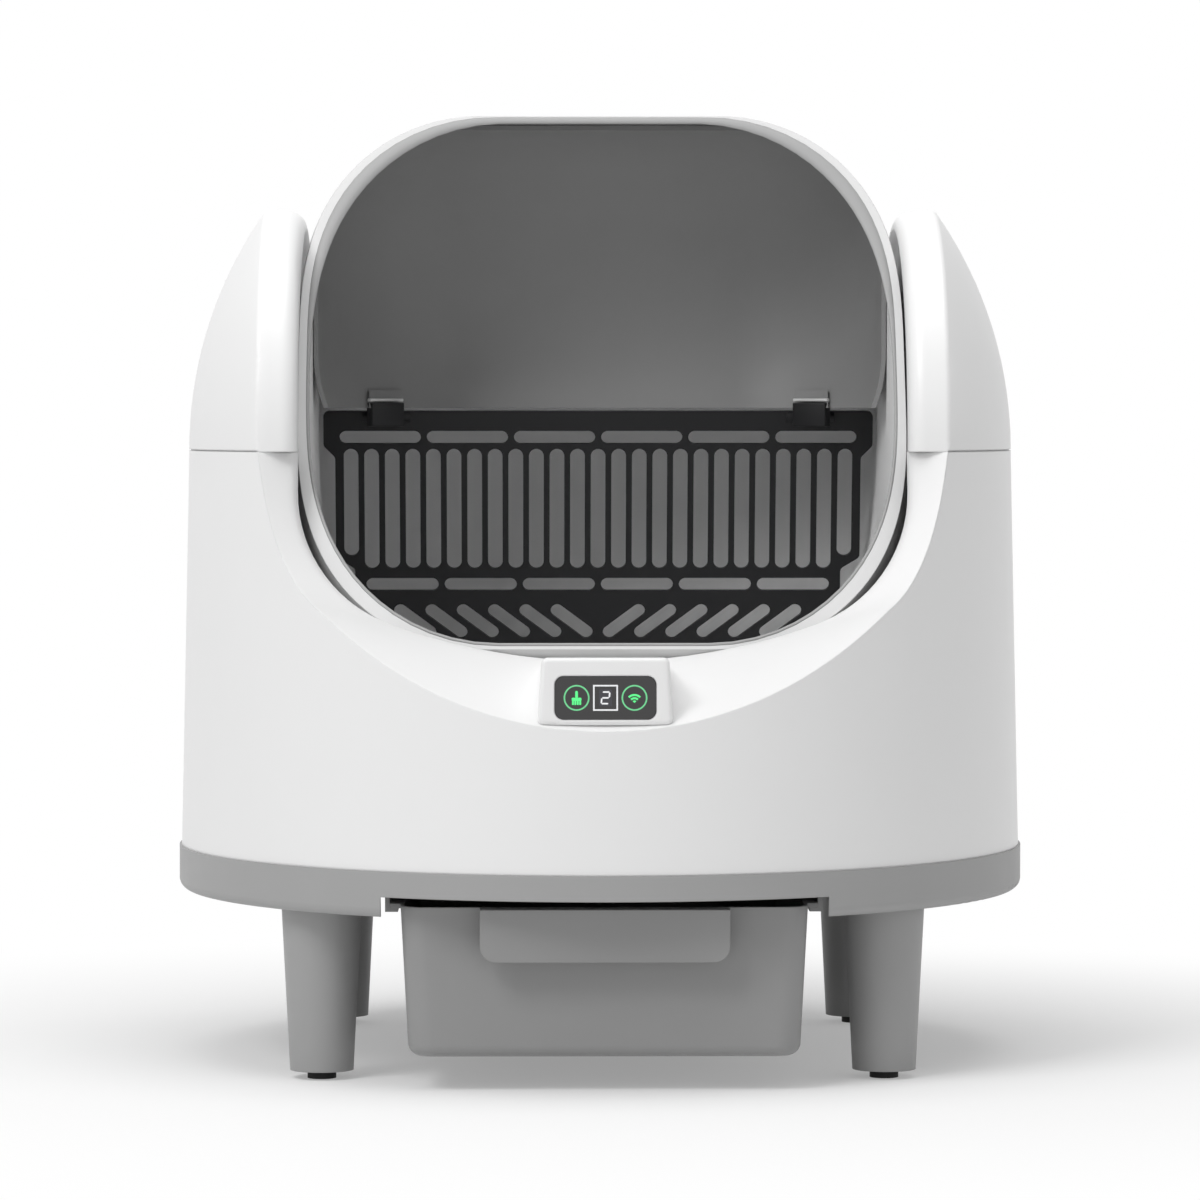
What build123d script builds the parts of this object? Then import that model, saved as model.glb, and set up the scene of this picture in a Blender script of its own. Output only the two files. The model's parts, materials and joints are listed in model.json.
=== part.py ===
from build123d import *
from math import acos, atan, atan2, cos, hypot, pi, radians, sin, sqrt, tan
import os

# Self-cleaning litter box. Millimetres, X left to right, Y front to back, Z up from the floor.
# The drum turns about a left to right axle between two ears, over a drawer on runners.

# Walls and clearances
WALL = 3.0                 # moulded wall of the white shells
RUN_GAP = 0.05             # radial gap of shafts, pins and screws in their holes
SEAT_GAP = 0.3             # gap between nested curved pieces
SLIDE_GAP = 0.4            # gap beside flat faces that slide or swing
DRUM_GAP = 4.0             # gap between the drum's ends and the ears
DRUM_CLEAR = 2.5           # least gap between the drum and the tub's mouth

# Heights above the floor
SKIRT_BOTTOM_Z = 110.0
SKIRT_H = 29.0
CHASSIS_RISE = 14.0        # chassis underside above the skirt's lower edge
DRUM_UNDER = 12.0          # drum above the waste chute

# Skirt, chassis and main shell
SKIRT_R = 280.0
SKIRT_WALL = 4.0
SKIRT_EDGE_R = 7.0
SKIRT_LEDGE_W = 14.0
SKIRT_LEDGE_T = 3.0
CHASSIS_T = 4.0
SHELL_STEP = 1.5           # how far the skirt stands proud of the shell
SHELL_TAPER = 5.5          # how much the shell's radius draws in from the skirt to the seam
NOTCH_SIDE_GAP = 12.0      # skirt's notch beside the drawer
NOTCH_H = 13.0

# Mouth of the main shell: a U on a leaning plane, rolled outwards and flared to the shell's skin
MOUTH_LEAN = 18.2          # degrees from upright
MOUTH_FLOOR_TURN = 34.2    # degrees below the axle's height, seen from the axle, of the U's floor
MOUTH_DRUM_GAP = 11.3      # U's floor outside the drum
MOUTH_FLOOR_RISE = 19.05   # rise of the U's floor from its middle to the middles of its corners
MOUTH_CORNER_R = 98.0
MOUTH_LIP_IN = 6.0         # lip of the mouth and of the ears inside the ears' inner wall
MOUTH_LIP_R = 12.0
MOUTH_LIP_STEPS = 6        # straight steps round the lip's roll
FLARE_SIDE = 1.70          # sideways flare for each unit of depth
FLARE_FLOOR = 0.97         # downward flare for each unit of depth
FLARE_REACH = 160.0
EAR_BAND_W = 20.0          # ridge of an ear's dome outside its inner wall
EAR_BAND_DROP = 1.5        # fall of the ear's band from the ridge to its rolled lip
RIDGE_EDGE_R = 4.0
SEAM_H = 0.9               # groove between an ear cap and the shell
SEAM_D = 1.2

# Drum
DRUM_R = 222.0
DRUM_END_ROOM = 76.0       # from each end of the drum to the outside of its ear
DRUM_SHOULDER_R = 117.0
DRUM_WALL = 3.0
DRUM_MOUTH_LEAN = 27.9     # degrees that the drum's mouth looks up
DRUM_MOUTH_DIST = 103.8    # mouth plane from the axle
RIM_DEPTH = 8.0
RIM_INSET = 3.0            # rim width at the flat of the barrel
RIM_SIDE_INSET = 6.0       # rim width at the drum's ends
RIM_ROUNDING = 7.0         # how much rounder the rim's inner edge is than the barrel's shoulder
LINER_T = 2.5
LINER_TOP = 118.0          # liner's upper edge above the axle
HOOD_INSET = 97.0          # how much smaller the hood's roll is than the drum
HOOD_END_R = 27.0          # flat end of the roll, inside its rounded shoulder
HOOD_SIDE_GAP = 6.4        # hood's ends inside the drum's ends
HOOD_T = 3.0
HOOD_FOOT = 28.0           # hood's lower edge above the axle

# Sieve and its clips
SIEVE_HOOD_GAP = 9.02      # hinge line in front of the hood's lower edge
SIEVE_RISE = 22.0          # hinge line above the axle
SIEVE_LEAN = 10.5          # degrees, the foot leans back
SIEVE_T = 4.0
SIEVE_CORNER_R = 4.0
SIEVE_EDGE_RISE = 4.0      # grille's top edge above its hinge line
SIEVE_FOOT_CLEAR = 14.2    # grille's foot inside the drum's radius
SIEVE_TOP_H = 20.0         # its steps, down from the hinge line
SIEVE_SHOULDER = 8.0
SIEVE_MID_H = 98.0
SIEVE_LOW_H = 122.0
SIEVE_TOP_GAP = 3.2        # its sides inside the liner, at each step
SIEVE_MID_GAP = 6.0
SIEVE_LOW_GAP = 12.0
SIEVE_FOOT_GAP = 32.0
SLOT_H = 9.0               # width of the long slots
SLOT_WEB = 4.0             # bar between two slots
UPPER_SLOTS = 6
UPPER_MARGIN = 11.0
UPPER_DOWN = 14.0
BAR_SLOTS = 25
BAR_LEN = 84.0
BAR_MARGIN = 5.7
BAR_DOWN = 64.0
END_BAR_SHORT = 9.0        # how much shorter the outer two bars' slots are
LOWER_SLOTS = 6
LOWER_MARGIN = 7.6
LOWER_DOWN = 117.0
SLANT_SLOTS = 6            # on each side
SLANT_LEN = 34.0
SLANT_MARGIN = 41.0
SLANT_MIDDLE = 18.0
SLANT_DOWN = 143.0
SLANT_ANGLE = 37.0
CLIP_INSET = 52.0          # clips from the drum's ends
CLIP_HALF_W = 11.0
CLIP_H = 18.0
CLIP_REACH = 15.0          # clip's foot in front of its hinge pin
CLIP_T = 3.0               # clip's tongue inside the hood
KNUCKLE_R = 4.0
KNUCKLE_W = 5.0
SIEVE_PIN_R = 2.0
SIEVE_NOTCH = 6.5

# Axle, bearings and drive
HUB_R = 45.0
HUB_T = 3.0
AXLE_R = 14.0
AXLE_TIP = 4.0             # axle stub beyond the gears
AXLE_HOLE_GAP = 2.0
HUB_SCREW_PCD_R = 34.0
HUB_SCREW_COUNT = 6
HUB_SCREW_R = 2.0
BUSH_WALL = 5.0
BUSH_L = 12.0
PILLAR_GAP = 1.0           # pillar beyond the ear's inner wall
PILLAR_T = 4.0
PILLAR_HALF_W = 75.0
PILLAR_FOOT = 30.0
SADDLE_HALF_W = 32.0
SADDLE_H = 45.0
BEARING_CAP_H = 26.0
BEARING_SCREW_Y = 26.0
BEARING_SCREW_R = 2.0
BEARING_SCREW_L = 40.0
BEARING_SCREW_HEAD_R = 4.0
BEARING_SCREW_HEAD_H = 3.0
MODULE = 2.0
GEAR_TEETH = 60
PINION_TEETH = 20
PRESSURE_ANGLE = 20.0
TOOTH_SLACK = 0.3          # taken off each tooth's thickness
TOOTH_ROOT = 1.25          # tooth depth below the pitch circle, in modules
FLANK_POINTS = 5
GEAR_GAP = 5.0             # between the bearing and the gears
GEAR_W = 10.0
PINION_SHAFT_R = 4.0
SHAFT_SEAT = 14.5          # pinion shaft inside the motor
MOTOR_R = 22.0
MOTOR_WALL_GAP = 4.0       # between the motor and the ear's wall
MOTOR_NOSE_R = 8.5
BRACKET_T = 3.0
BRACKET_GAP = 2.0          # between the gears and the bracket plate
BRACKET_HALF_W = 30.0
BRACKET_ARM_T = 4.0
BRACKET_DOWN = 32.0
BRACKET_UP = 16.0

# Legs and pads
LEG_INSET = 40.5           # leg centres inside the skirt
LEG_TURN = 41.3            # degrees round from the side
LEG_TOP_R = 26.3
LEG_FOOT_R = 20.3
LEG_WALL = 3.0
LEG_BOSS_R = 8.0
PAD_R = 9.2
PAD_H = 5.3
PAD_STEM_R = 5.0
PAD_STEM_H = 5.0
LEG_SCREW_R = 2.5
LEG_SCREW_HEAD_R = 5.0
LEG_SCREW_HEAD_H = 4.0
LEG_SCREW_L = 42.0
SENSOR = (60.0, 14.0, 9.0)

# Drawer, runners and chute
DRAWER_SETBACK = 44.0      # drawer's front behind the skirt's front
DRAWER_BACK_Y = 140.0
DRAWER_LEG_GAP = 25.6
DRAWER_DRAFT = 5.0         # how much each side draws in towards the floor
DRAWER_BOTTOM_Z = 21.6
DRAWER_DROP = 8.0          # drawer's rim below the chassis
DRAWER_WALL = 2.5
DRAWER_CORNER_R = 16.0
DRAWER_FLOOR_R = 8.0
LIP_W = 7.0
LIP_T = 3.0
LIP_END = 12.0
RUNNER_T = 3.0
RUNNER_SETBACK = 40.0      # runners behind the drawer's front
RUNNER_SHELF_IN = 5.2      # runner's shelf under the lip
HANDLE_SIDE = 50.0         # drawer's front beside the pull plate
HANDLE_H = 33.0
HANDLE_REACH = 18.0
HANDLE_T = 3.5
HANDLE_CORNER_R = 10.0
CHUTE_SIDE = 28.0          # chute's outlet inside the drawer's sides
CHUTE_FRONT_Y = -130.0
CHUTE_BACK_Y = 110.0
CHUTE_FLARE = 40.0
CHUTE_H = 38.0
CHUTE_WALL = 2.5

# Control panel and electronics
PANEL_HALF_W = 42.0
PANEL_TOP_HALF_W = 39.5
PANEL_SETBACK = 10.0       # panel's face behind the skirt's front
PANEL_LEAN = 4.0
PANEL_RISE = 4.7           # panel's foot above the cowl's front edge
PANEL_H = 42.0
PANEL_DEPTH = 74.0
PANEL_EDGE_R = 4.0
PANEL_FRONT_R = 3.0        # rounding round the face
GLASS = (62.6, 26.6)
GLASS_CORNER_R = 5.4
GLASS_T = 3.0
GLASS_DOWN = 25.0          # glass centre below the housing's top
PANEL_BOARD = (54.0, 20.0, 1.6)
BOARD = (110.0, 56.0, 1.6)
BOARD_INSET = 75.0         # board's middle inside the skirt's back
BOARD_STANDOFF = 8.0
BOARD_STANDOFF_R = 3.5
INLET_TURN = -20.0         # degrees about the middle, from straight back towards the right
INLET_RISE = 26.0          # above the skirt
INLET_R = 5.5
INLET_BORE_R = 3.2
INLET_FLANGE_R = 8.0
INLET_FLANGE_T = 2.0
INLET_L = 22.0

# Derived places
SKIRT_TOP_Z = SKIRT_BOTTOM_Z + SKIRT_H
CHASSIS_Z = SKIRT_BOTTOM_Z + CHASSIS_RISE
FLOOR_Z = CHASSIS_Z + CHASSIS_T
SHELL_R = SKIRT_R - SHELL_STEP
EAR_R = SHELL_R - SHELL_TAPER
DRUM_HALF_W = EAR_R - DRUM_END_ROOM
EAR_X = DRUM_HALF_W + DRUM_GAP
LIP_X = EAR_X - MOUTH_LIP_IN
RIDGE_X = EAR_X + EAR_BAND_W
RIDGE_RISE = sqrt(EAR_R ** 2 - RIDGE_X ** 2)
AXLE_Z = FLOOR_Z + CHUTE_H + DRUM_UNDER + DRUM_R
MOUTH_FLOOR_Y = -(DRUM_R + MOUTH_DRUM_GAP) * cos(radians(MOUTH_FLOOR_TURN))
MOUTH_FLOOR_DROP = (DRUM_R + MOUTH_DRUM_GAP) * sin(radians(MOUTH_FLOOR_TURN))
MOUTH_Y = MOUTH_FLOOR_Y + MOUTH_FLOOR_DROP * tan(radians(MOUTH_LEAN))
MOUTH_DEPTH = MOUTH_FLOOR_DROP / cos(radians(MOUTH_LEAN))
MOUTH_CORNER_X = EAR_X - MOUTH_CORNER_R
MOUTH_FLOOR_R = MOUTH_CORNER_R + (MOUTH_CORNER_X ** 2 + MOUTH_FLOOR_RISE ** 2) / (2 * MOUTH_FLOOR_RISE)
COWL_SLOPE = tan(atan(FLARE_FLOOR) - radians(MOUTH_LEAN))
COWL_FRONT_Z = AXLE_Z - MOUTH_FLOOR_DROP - (SHELL_R + MOUTH_FLOOR_Y) * COWL_SLOPE
PILLAR_X = EAR_X + WALL + PILLAR_GAP
BUSH_R = AXLE_R + BUSH_WALL
GEAR_X = PILLAR_X + BUSH_L + GEAR_GAP
AXLE_END = GEAR_X + GEAR_W + AXLE_TIP
GEAR_R = MODULE * GEAR_TEETH / 2
PINION_R = MODULE * PINION_TEETH / 2
PINION_Z = AXLE_Z - GEAR_R - PINION_R
BRACKET_X = GEAR_X + GEAR_W + BRACKET_GAP
MOTOR_L = EAR_R - WALL - MOTOR_WALL_GAP - BRACKET_X - BRACKET_T
LEG_X = (SKIRT_R - LEG_INSET) * cos(radians(LEG_TURN))
LEG_Y = (SKIRT_R - LEG_INSET) * sin(radians(LEG_TURN))
DRAWER_FRONT_Y = DRAWER_SETBACK - SKIRT_R
DRAWER_HALF_W = LEG_X - LEG_TOP_R - DRAWER_LEG_GAP
DRAWER_TOP_Z = CHASSIS_Z - DRAWER_DROP
NOTCH_HALF_W = DRAWER_HALF_W + NOTCH_SIDE_GAP
RUNNER_FRONT_Y = DRAWER_FRONT_Y + RUNNER_SETBACK
HANDLE_HALF_W = DRAWER_HALF_W - HANDLE_SIDE
CHUTE_HALF_W = DRAWER_HALF_W - CHUTE_SIDE
HOOD_R = DRUM_R - HOOD_INSET
HOOD_SHOULDER_R = HOOD_R - HOOD_END_R
HOOD_RISE = DRUM_R - DRUM_WALL - LINER_T - 2 * SEAT_GAP - HOOD_R
SIEVE_Y = sqrt(HOOD_R ** 2 - (HOOD_RISE - HOOD_FOOT) ** 2) - SIEVE_HOOD_GAP
SIEVE_Z = AXLE_Z + SIEVE_RISE
SIEVE_FALL = SIEVE_RISE * cos(radians(SIEVE_LEAN)) - SIEVE_Y * sin(radians(SIEVE_LEAN))
SIEVE_FOOT_R = DRUM_R - SIEVE_FOOT_CLEAR
SIEVE_LEN = SIEVE_FALL + sqrt(SIEVE_FALL ** 2 + SIEVE_FOOT_R ** 2 - SIEVE_Y ** 2 - SIEVE_RISE ** 2)
CLIP_X = DRUM_HALF_W - CLIP_INSET
PANEL_FRONT_Y = PANEL_SETBACK - SKIRT_R
PANEL_BOTTOM_Z = COWL_FRONT_Z + PANEL_RISE
BOARD_Y = SKIRT_R - BOARD_INSET
INLET_Z = SKIRT_TOP_Z + INLET_RISE
BIG = 4 * SKIRT_R          # a length that passes everything

SHELL_MOUTH = Plane(
    origin=(0, MOUTH_Y, AXLE_Z), x_dir=(1, 0, 0),
    z_dir=(0, -cos(radians(MOUTH_LEAN)), sin(radians(MOUTH_LEAN))))
DRUM_MOUTH = Plane(
    origin=(0, -DRUM_MOUTH_DIST * cos(radians(DRUM_MOUTH_LEAN)),
            AXLE_Z + DRUM_MOUTH_DIST * sin(radians(DRUM_MOUTH_LEAN))),
    x_dir=(1, 0, 0),
    z_dir=(0, -cos(radians(DRUM_MOUTH_LEAN)), sin(radians(DRUM_MOUTH_LEAN))))
SIEVE_PLANE = Plane(
    origin=(0, SIEVE_Y, SIEVE_Z), x_dir=(1, 0, 0),
    z_dir=(0, -cos(radians(SIEVE_LEAN)), -sin(radians(SIEVE_LEAN))))
AXLE_PLANE = Plane(origin=(0, 0, AXLE_Z), x_dir=(1, 0, 0), z_dir=(0, -1, 0))
AXLE = Axis((0, 0, AXLE_Z), (1, 0, 0))


def block(x0, x1, y0, y1, z0, z1):
    """Box between two corners."""
    return Pos((x0 + x1) / 2, (y0 + y1) / 2, (z0 + z1) / 2) * Box(x1 - x0, y1 - y0, z1 - z0)


def upright(radius, z0, z1, x=0.0, y=0.0):
    """Upright cylinder."""
    return Pos(x, y, (z0 + z1) / 2) * Cylinder(radius, z1 - z0)


def crosswise(radius, x0, x1, y=0.0, z=AXLE_Z):
    """Cylinder that lies along X."""
    return Pos((x0 + x1) / 2, y, z) * Rot(0, 90, 0) * Cylinder(radius, x1 - x0)


def frustum(bottom_r, top_r, z0, z1, x=0.0, y=0.0):
    """Upright cone frustum."""
    return Pos(x, y, (z0 + z1) / 2) * Cone(bottom_r, top_r, z1 - z0)


def beyond(plane, start, end):
    """Slab across everything, from start to end along a plane's normal."""
    return plane * Pos(0, 0, (start + end) / 2) * Box(BIG, BIG, end - start)


def other_side(piece):
    """The same piece on the left."""
    return mirror(piece, about=Plane.YZ)


# Main shell, ears and skirt

def lip_span(tuck, spread):
    """Depths at which the lip's roll begins, and at which it meets the straight flare."""
    turn = atan(spread)
    meet = (MOUTH_LIP_R * (1 - cos(turn)) - tuck) / spread
    return meet - MOUTH_LIP_R * sin(turn), meet


def roll_out(depth, tuck, spread):
    """How far the mouth has opened at a depth: a lip tucked in, its roll, then a straight flare."""
    begin, meet = lip_span(tuck, spread)
    if depth >= meet:
        return spread * depth
    over = max(depth - begin, 0)
    return MOUTH_LIP_R - sqrt(MOUTH_LIP_R ** 2 - over ** 2) - tuck


def u_face(depth, grow):
    """Face inside the shell mouth's U, depth in front of its plane and grown all round."""
    opened = roll_out(depth, 0, FLARE_FLOOR)
    half = EAR_X + roll_out(depth, MOUTH_LIP_IN, FLARE_SIDE) + grow
    floor = -MOUTH_DEPTH - opened - grow
    floor_r = MOUTH_FLOOR_R + opened + grow
    corner_r = MOUTH_CORNER_R + opened + grow
    centre_v = floor + floor_r
    corner_u = half - corner_r
    corner_v = centre_v - sqrt((floor_r - corner_r) ** 2 - corner_u ** 2)
    tangent = atan2(corner_v - centre_v, corner_u)
    join_u = floor_r * cos(tangent)
    join_v = centre_v + floor_r * sin(tangent)
    middle_u = corner_u + corner_r * cos(tangent / 2)
    middle_v = corner_v + corner_r * sin(tangent / 2)
    top = MOUTH_DEPTH + EAR_R
    outline = [
        Line((-half, top), (-half, corner_v)),
        ThreePointArc((-half, corner_v), (-middle_u, middle_v), (-join_u, join_v)),
        ThreePointArc((-join_u, join_v), (0, floor), (join_u, join_v)),
        ThreePointArc((join_u, join_v), (middle_u, middle_v), (half, corner_v)),
        Line((half, corner_v), (half, top)),
        Line((half, top), (-half, top)),
    ]
    return SHELL_MOUTH.offset(depth) * make_face(outline)


def flare(grow):
    """Space in front of the shell's mouth, widening outwards."""
    start = lip_span(MOUTH_LIP_IN, FLARE_SIDE)[0]
    rolled_depth = lip_span(0, FLARE_FLOOR)[1] - start
    depths = [start + rolled_depth * step / MOUTH_LIP_STEPS for step in range(MOUTH_LIP_STEPS + 1)]
    return loft([u_face(depth, grow) for depth in depths + [FLARE_REACH]], ruled=True)


def main_shell():
    """Tub with a flared mouth at the front and the same at the back."""
    outer = frustum(SHELL_R, EAR_R, SKIRT_TOP_Z, AXLE_Z)
    inner = frustum(SHELL_R - WALL, EAR_R - WALL, SKIRT_TOP_Z, AXLE_Z)
    opening = flare(0)
    grown = flare(WALL)
    band = (grown - opening) & outer
    shell = outer - inner - grown + band
    back_grown = mirror(grown, about=Plane.XZ)
    back_band = mirror(band, about=Plane.XZ)
    shell = shell - back_grown + back_band - barrel(-DRUM_CLEAR)
    return shell - inlet_place() * Cylinder(INLET_R + SEAT_GAP, 4 * WALL)


def ear_profile(inset):
    """Half section of an ear: inner wall, rolled lip, band and dome, drawn in by an inset."""
    radius = EAR_R - inset
    lip_r = MOUTH_LIP_R - inset
    lip_x = LIP_X + MOUTH_LIP_R
    lip_centre = RIDGE_RISE - EAR_BAND_DROP - MOUTH_LIP_R
    ridge_x = sqrt(radius ** 2 - (RIDGE_RISE - inset) ** 2)
    ridge = (ridge_x, RIDGE_RISE - inset)
    wall_x = EAR_X + inset
    bulge = lip_r * sin(pi / 4)
    wall_r = lip_centre - MOUTH_LIP_R
    half_angle = atan2(ridge[1], ridge[0]) / 2
    outline = [
        Line((wall_x, 0), (wall_x, wall_r)),
        Line((wall_x, wall_r), (lip_x - lip_r, lip_centre)),
        ThreePointArc((lip_x - lip_r, lip_centre), (lip_x - bulge, lip_centre + bulge),
                      (lip_x, lip_centre + lip_r)),
        Line((lip_x, lip_centre + lip_r), ridge),
        ThreePointArc(ridge, (radius * cos(half_angle), radius * sin(half_angle)), (radius, 0)),
        Line((radius, 0), (wall_x, 0)),
    ]
    return make_face(outline), ridge


def ear_cap_right():
    """Domed cap over the right end of the axle, above the seam."""
    outer, ridge = ear_profile(0)
    corner = outer.vertices().sort_by_distance(ridge)[0]
    outer = fillet(corner, RIDGE_EDGE_R)
    inner, _ = ear_profile(WALL)
    dome = revolve(AXLE_PLANE * outer, AXLE) - revolve(AXLE_PLANE * inner, AXLE)
    dome = dome & block(0, BIG, -BIG, BIG, AXLE_Z, BIG)
    dome -= upright(BIG, AXLE_Z, AXLE_Z + SEAM_H) - upright(EAR_R - SEAM_D, AXLE_Z, AXLE_Z + SEAM_H)
    return dome - crosswise(AXLE_R + AXLE_HOLE_GAP, LIP_X, PILLAR_X)


def skirt():
    """Grey ring with a rounded lower edge, a ledge for the chassis and the drawer's notch."""
    ring = upright(SKIRT_R, SKIRT_BOTTOM_Z, SKIRT_TOP_Z)
    low_edge = ring.edges().filter_by(GeomType.CIRCLE).sort_by(Axis.Z)[0]
    ring = fillet(low_edge, SKIRT_EDGE_R)
    bore_r = SKIRT_R - SKIRT_WALL
    lower_r = bore_r - SKIRT_EDGE_R
    ring -= upright(bore_r, CHASSIS_Z - SEAT_GAP, FLOOR_Z)
    ring -= frustum(lower_r, bore_r, SKIRT_BOTTOM_Z, CHASSIS_Z - SEAT_GAP)
    ring -= upright(bore_r - SKIRT_LEDGE_W, FLOOR_Z, FLOOR_Z + SKIRT_LEDGE_T)
    ring -= upright(bore_r, FLOOR_Z + SKIRT_LEDGE_T, SKIRT_TOP_Z)
    ring -= block(-NOTCH_HALF_W, NOTCH_HALF_W, -BIG, 0, 0, SKIRT_BOTTOM_Z + NOTCH_H)
    return ring


def chassis():
    """Round floor plate with the chute's opening and holes for the leg screws."""
    plate = upright(SKIRT_R - SKIRT_WALL - SEAT_GAP, CHASSIS_Z, FLOOR_Z)
    plate -= block(-CHUTE_HALF_W, CHUTE_HALF_W, CHUTE_FRONT_Y, CHUTE_BACK_Y, CHASSIS_Z, FLOOR_Z)
    for x, y in leg_places().values():
        plate -= upright(LEG_SCREW_R + RUN_GAP, CHASSIS_Z, FLOOR_Z, x, y)
    return plate


# Drum

def rolled(radius, half, shoulder):
    """Barrel of revolution about the axle, with rounded shoulders."""
    flat = half - shoulder
    end = radius - shoulder
    bulge = shoulder * sin(pi / 4)
    outline = [
        Line((-half, 0), (-half, end)),
        ThreePointArc((-half, end), (-flat - bulge, end + bulge), (-flat, radius)),
        Line((-flat, radius), (flat, radius)),
        ThreePointArc((flat, radius), (flat + bulge, end + bulge), (half, end)),
        Line((half, end), (half, 0)),
        Line((half, 0), (-half, 0)),
    ]
    return revolve(AXLE_PLANE * make_face(outline), AXLE)


def barrel(inset):
    """The drum, drawn in by an inset."""
    return rolled(DRUM_R - inset, DRUM_HALF_W - inset, DRUM_SHOULDER_R - inset)


def half_inside_liner(y, rise):
    """Half width inside the liner at a distance behind the axle and a height above it."""
    inset = DRUM_WALL + SEAT_GAP + LINER_T
    over = hypot(y, rise) - (DRUM_R - DRUM_SHOULDER_R)
    shoulder = DRUM_SHOULDER_R - inset
    flat = DRUM_HALF_W - DRUM_SHOULDER_R
    return flat + sqrt(shoulder ** 2 - max(over, 0) ** 2)


def drum_shell():
    """White barrel, cut off behind the rim and drilled for the hub screws."""
    hollow = barrel(0) - barrel(DRUM_WALL)
    hollow -= beyond(DRUM_MOUTH, -RIM_DEPTH, BIG)
    for screw in hub_screws():
        hollow -= screw
    return hollow


def mouth_rim():
    """White rim round the drum's mouth."""
    inside = rolled(DRUM_R - RIM_INSET, DRUM_HALF_W - RIM_SIDE_INSET, DRUM_SHOULDER_R + RIM_ROUNDING)
    return (barrel(0) - inside) & beyond(DRUM_MOUTH, -RIM_DEPTH, 0)


def drum_skin():
    """Skin inside the whole drum, behind its rim."""
    outside = DRUM_WALL + SEAT_GAP
    return barrel(outside) - barrel(outside + LINER_T) - beyond(DRUM_MOUTH, -RIM_DEPTH, BIG)


def basin_liner():
    """Grey inner skin of the drum, up to the sides of the hood."""
    return drum_skin() & block(-BIG, BIG, -BIG, BIG, 0, AXLE_Z + LINER_TOP)


def hood_liner():
    """Dark inner skin of the drum's top."""
    return drum_skin() & block(-BIG, BIG, -BIG, BIG, AXLE_Z + LINER_TOP, BIG)


def hood_roll(inset):
    """Solid roll inside the hood's wall, with the hood's crown just under the liner."""
    roll = rolled(HOOD_R - inset, DRUM_HALF_W - HOOD_SIDE_GAP - inset, HOOD_SHOULDER_R - inset)
    return Pos(0, 0, HOOD_RISE) * roll


def hood_panel():
    """Dark inner wall that rolls from the top of the mouth down to the sieve."""
    wall = hood_roll(0) - hood_roll(HOOD_T)
    wall &= block(-BIG, BIG, 0, BIG, AXLE_Z + HOOD_FOOT, BIG)
    wall -= beyond(DRUM_MOUTH, -RIM_DEPTH, BIG)
    return wall & barrel(DRUM_WALL + LINER_T + 2 * SEAT_GAP)


# Sieve

def sieve_half(down, gap):
    """Half width of the grille at a distance down from its hinge line."""
    lean = radians(SIEVE_LEAN)
    return half_inside_liner(SIEVE_Y + down * sin(lean), SIEVE_RISE - down * cos(lean)) - gap


def slot_row(count, half, margin):
    """Length of each slot of a row across the grille, and the middles of the slots."""
    length = (2 * (half - margin) - (count - 1) * SLOT_WEB) / count
    pitch = length + SLOT_WEB
    return length, [(column - (count - 1) / 2) * pitch for column in range(count)]


def sieve_outline():
    """Outline of the grille, stepped in towards its foot, with slots cut through."""
    top_half = sieve_half(SIEVE_TOP_H, SIEVE_TOP_GAP)
    mid_half = sieve_half(SIEVE_MID_H, SIEVE_MID_GAP)
    low_half = sieve_half(SIEVE_LOW_H, SIEVE_LOW_GAP)
    foot_half = sieve_half(SIEVE_LEN, SIEVE_FOOT_GAP)
    right = [
        (top_half, SIEVE_EDGE_RISE), (top_half, -SIEVE_TOP_H),
        (mid_half, -SIEVE_TOP_H - SIEVE_SHOULDER), (mid_half, -SIEVE_MID_H),
        (low_half, -SIEVE_MID_H - SIEVE_SHOULDER), (low_half, -SIEVE_LOW_H),
        (foot_half, -SIEVE_LEN),
    ]
    left = [(-x, y) for x, y in reversed(right)]
    plate = make_face(Polyline(*right, *left, close=True))
    plate = fillet(plate.vertices(), SIEVE_CORNER_R)
    length, middles = slot_row(UPPER_SLOTS, top_half, UPPER_MARGIN)
    for x in middles:
        plate -= Pos(x, -UPPER_DOWN) * SlotOverall(length, SLOT_H)
    width, middles = slot_row(BAR_SLOTS, mid_half, BAR_MARGIN)
    for x in middles:
        short = END_BAR_SHORT if x in (middles[0], middles[-1]) else 0
        plate -= Pos(x, short / 2 - BAR_DOWN) * Rot(0, 0, 90) * SlotOverall(BAR_LEN - short, width)
    length, middles = slot_row(LOWER_SLOTS, low_half, LOWER_MARGIN)
    for x in middles:
        plate -= Pos(x, -LOWER_DOWN) * SlotOverall(length, SLOT_H)
    pitch = (low_half - SLANT_MARGIN - SLANT_MIDDLE) / (SLANT_SLOTS - 1)
    for column in range(SLANT_SLOTS):
        x = SLANT_MIDDLE + column * pitch
        for side in (-1, 1):
            slot = Rot(0, 0, side * SLANT_ANGLE) * SlotOverall(SLANT_LEN, SLOT_H)
            plate -= Pos(side * x, -SLANT_DOWN) * slot
    for clip_x in (-CLIP_X, CLIP_X):
        gap = 2 * (CLIP_HALF_W + SLIDE_GAP)
        plate -= Pos(clip_x, 0) * Rectangle(gap, 2 * SIEVE_NOTCH)
    return plate


def knuckle_spans():
    """Left and right ends of the four hinge knuckles on the grille."""
    spans = []
    for clip_x in (-CLIP_X, CLIP_X):
        for side in (-1, 1):
            near = clip_x + side * (CLIP_HALF_W + SLIDE_GAP)
            far = near + side * KNUCKLE_W
            spans.append((min(near, far), max(near, far)))
    return spans


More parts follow.
